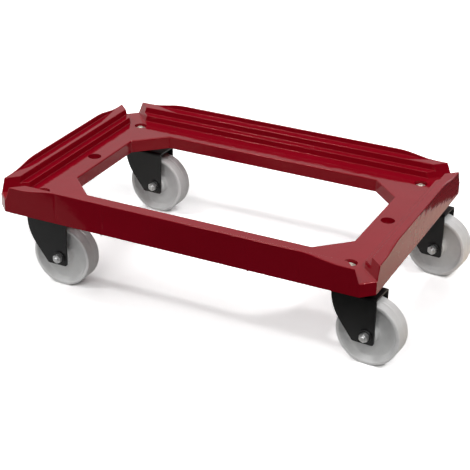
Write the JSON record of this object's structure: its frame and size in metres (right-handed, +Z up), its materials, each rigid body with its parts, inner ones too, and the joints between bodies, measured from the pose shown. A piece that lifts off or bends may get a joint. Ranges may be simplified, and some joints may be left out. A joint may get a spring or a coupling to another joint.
{
  "type": "crate dolly",
  "caption": "Open rectangular moulded dolly with stepped rims that seat a stacking crate, on swivel castors with pressed forks and dished wheels.",
  "frame": {"origin": "on the floor under the middle of the whole outline, wheels included; the frame's own middle is 18.7 mm towards -X, because all four castors trail towards +X", "axes": "+X along the long side towards the side the castors trail to, +Z up, -Y is the front long side"},
  "size_m": [0.6574, 0.42, 0.176],
  "materials": {
    "red_abs": "moulded, glossy",
    "black_painted_steel": "satin powder coat",
    "zinc_plated_steel": "bright zinc plate",
    "bearing_steel": "polished",
    "white_polyamide": "turned and moulded, satin"
  },
  "bodies": {
    "base": {"deck_frame": "red_abs", "swivel_head_front_left": "zinc_plated_steel", "kingpin_front_left": "zinc_plated_steel", "upper_balls_front_left": "bearing_steel", "lower_balls_front_left": "bearing_steel", "mounting_bolt_front_left": "zinc_plated_steel", "mounting_washer_front_left": "zinc_plated_steel", "mounting_nut_front_left": "zinc_plated_steel", "swivel_head_front_right": "zinc_plated_steel", "kingpin_front_right": "zinc_plated_steel", "upper_balls_front_right": "bearing_steel", "lower_balls_front_right": "bearing_steel", "mounting_bolt_front_right": "zinc_plated_steel", "mounting_washer_front_right": "zinc_plated_steel", "mounting_nut_front_right": "zinc_plated_steel", "swivel_head_rear_left": "zinc_plated_steel", "kingpin_rear_left": "zinc_plated_steel", "upper_balls_rear_left": "bearing_steel", "lower_balls_rear_left": "bearing_steel", "mounting_bolt_rear_left": "zinc_plated_steel", "mounting_washer_rear_left": "zinc_plated_steel", "mounting_nut_rear_left": "zinc_plated_steel", "swivel_head_rear_right": "zinc_plated_steel", "kingpin_rear_right": "zinc_plated_steel", "upper_balls_rear_right": "bearing_steel", "lower_balls_rear_right": "bearing_steel", "mounting_bolt_rear_right": "zinc_plated_steel", "mounting_washer_rear_right": "zinc_plated_steel", "mounting_nut_rear_right": "zinc_plated_steel"},
    "castor_front_left": {"fork_front_left": "black_painted_steel", "axle_tube_front_left": "zinc_plated_steel", "axle_bolt_front_left": "zinc_plated_steel", "axle_nut_front_left": "zinc_plated_steel"},
    "roller_front_left": {"wheel_front_left": "white_polyamide"},
    "castor_front_right": {"fork_front_right": "black_painted_steel", "axle_tube_front_right": "zinc_plated_steel", "axle_bolt_front_right": "zinc_plated_steel", "axle_nut_front_right": "zinc_plated_steel"},
    "roller_front_right": {"wheel_front_right": "white_polyamide"},
    "castor_rear_left": {"fork_rear_left": "black_painted_steel", "axle_tube_rear_left": "zinc_plated_steel", "axle_bolt_rear_left": "zinc_plated_steel", "axle_nut_rear_left": "zinc_plated_steel"},
    "roller_rear_left": {"wheel_rear_left": "white_polyamide"},
    "castor_rear_right": {"fork_rear_right": "black_painted_steel", "axle_tube_rear_right": "zinc_plated_steel", "axle_bolt_rear_right": "zinc_plated_steel", "axle_nut_rear_right": "zinc_plated_steel"},
    "roller_rear_right": {"wheel_rear_right": "white_polyamide"}
  },
  "joints": [
    {"name": "swivel_front_left", "type": "hinge", "parent": "base", "child": "castor_front_left", "pos_m": [-0.2752, -0.1555, 0.112], "axis": [0, 0, 1], "continuous": true},
    {"name": "roll_front_left", "type": "hinge", "parent": "castor_front_left", "child": "roller_front_left", "pos_m": [-0.2352, -0.15599, 0.05], "axis": [0.0122, 0.9999, 0], "continuous": true},
    {"name": "swivel_front_right", "type": "hinge", "parent": "base", "child": "castor_front_right", "pos_m": [0.2378, -0.1555, 0.112], "axis": [0, 0, 1], "continuous": true},
    {"name": "roll_front_right", "type": "hinge", "parent": "castor_front_right", "child": "roller_front_right", "pos_m": [0.27771, -0.15822, 0.05], "axis": [0.068, 0.9977, 0], "continuous": true},
    {"name": "swivel_rear_left", "type": "hinge", "parent": "base", "child": "castor_rear_left", "pos_m": [-0.2752, 0.1555, 0.112], "axis": [0, 0, 1], "continuous": true},
    {"name": "roll_rear_left", "type": "hinge", "parent": "castor_rear_left", "child": "roller_rear_left", "pos_m": [-0.23523, 0.15376, 0.05], "axis": [0.0436, 0.999, 0], "continuous": true},
    {"name": "swivel_rear_right", "type": "hinge", "parent": "base", "child": "castor_rear_right", "pos_m": [0.2378, 0.1555, 0.112], "axis": [0, 0, 1], "continuous": true},
    {"name": "roll_rear_right", "type": "hinge", "parent": "castor_rear_right", "child": "roller_rear_right", "pos_m": [0.27767, 0.15222, 0.05], "axis": [0.0819, 0.9966, 0], "continuous": true}
  ]
}
